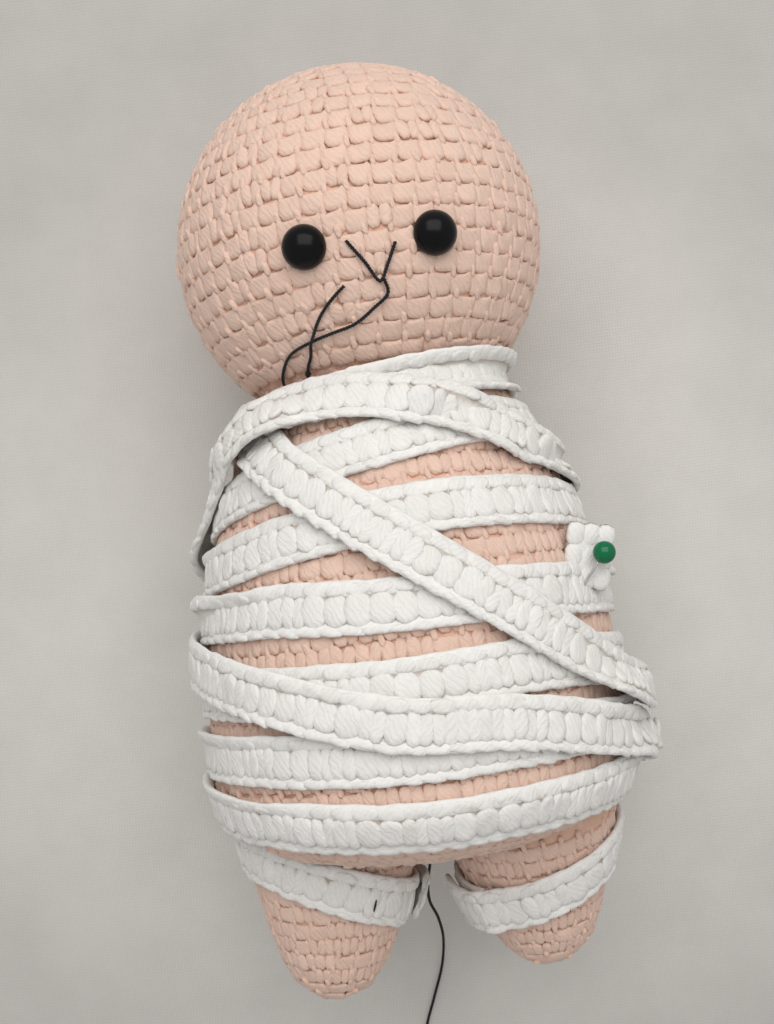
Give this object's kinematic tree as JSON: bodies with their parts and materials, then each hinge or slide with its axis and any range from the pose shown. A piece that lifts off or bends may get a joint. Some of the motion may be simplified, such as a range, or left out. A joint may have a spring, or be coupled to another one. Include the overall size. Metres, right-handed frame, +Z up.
{
  "type": "amigurumi mummy doll",
  "caption": "Stuffed crochet doll lying on its back, wrapped in a long crochet strip held by a ball pin, with bead eyes, thread face and small legs.",
  "frame": {"origin": "the point of the strip behind the hips where the doll rests on the floor", "axes": "+Z up, out of the doll's face as it lies on its back; +Y towards the top of the head; +X towards the doll's left side"},
  "size_m": [0.1043, 0.2398, 0.0998],
  "materials": {
    "peach_yarn": "matte crochet",
    "white_yarn": "matte crochet",
    "stuffing": "loose fibre",
    "eye_plastic": "polished",
    "washer_plastic": "moulded",
    "black_thread": "twisted thread",
    "green_glass": "glossy",
    "pin_steel": "bright"
  },
  "bodies": {
    "torso": {"body_skin": "peach_yarn", "body_stuffing": "stuffing", "bandage": "white_yarn", "loose_thread": "black_thread"},
    "head": {"head_skin": "peach_yarn", "head_stuffing": "stuffing", "left_eye": "eye_plastic", "right_eye": "eye_plastic", "left_eye_washer": "washer_plastic", "right_eye_washer": "washer_plastic", "nose_stitch": "black_thread", "long_thread_tail": "black_thread", "short_thread_tail": "black_thread"},
    "left_leg": {"left_leg_skin": "peach_yarn", "left_leg_stuffing": "stuffing", "left_leg_bandage": "white_yarn"},
    "right_leg": {"right_leg_skin": "peach_yarn", "right_leg_stuffing": "stuffing", "right_leg_bandage": "white_yarn"},
    "pin": {"pin_head": "green_glass", "pin_shaft": "pin_steel"}
  },
  "joints": [
    {"name": "neck_turn", "type": "hinge", "parent": "torso", "child": "head", "pos_m": [0, 0.09863, 0.0392], "axis": [0, 0.9936, -0.1132], "range_deg": [-20, 20], "stiffness_Nm_per_rad": 0.05},
    {"name": "left_hip", "type": "hinge", "parent": "torso", "child": "left_leg", "pos_m": [0.021, -0.0211, 0.05284], "axis": [1, 0, 0], "range_deg": [-6, 6], "stiffness_Nm_per_rad": 0.05},
    {"name": "right_hip", "type": "hinge", "parent": "torso", "child": "right_leg", "pos_m": [-0.021, -0.0211, 0.05284], "axis": [1, 0, 0], "range_deg": [-6, 6], "stiffness_Nm_per_rad": 0.05},
    {"name": "pin_pull", "type": "slide", "parent": "torso", "child": "pin", "axis": [0.5925, 0.7844, 0.1834], "range_m": [0, 0.024]}
  ]
}
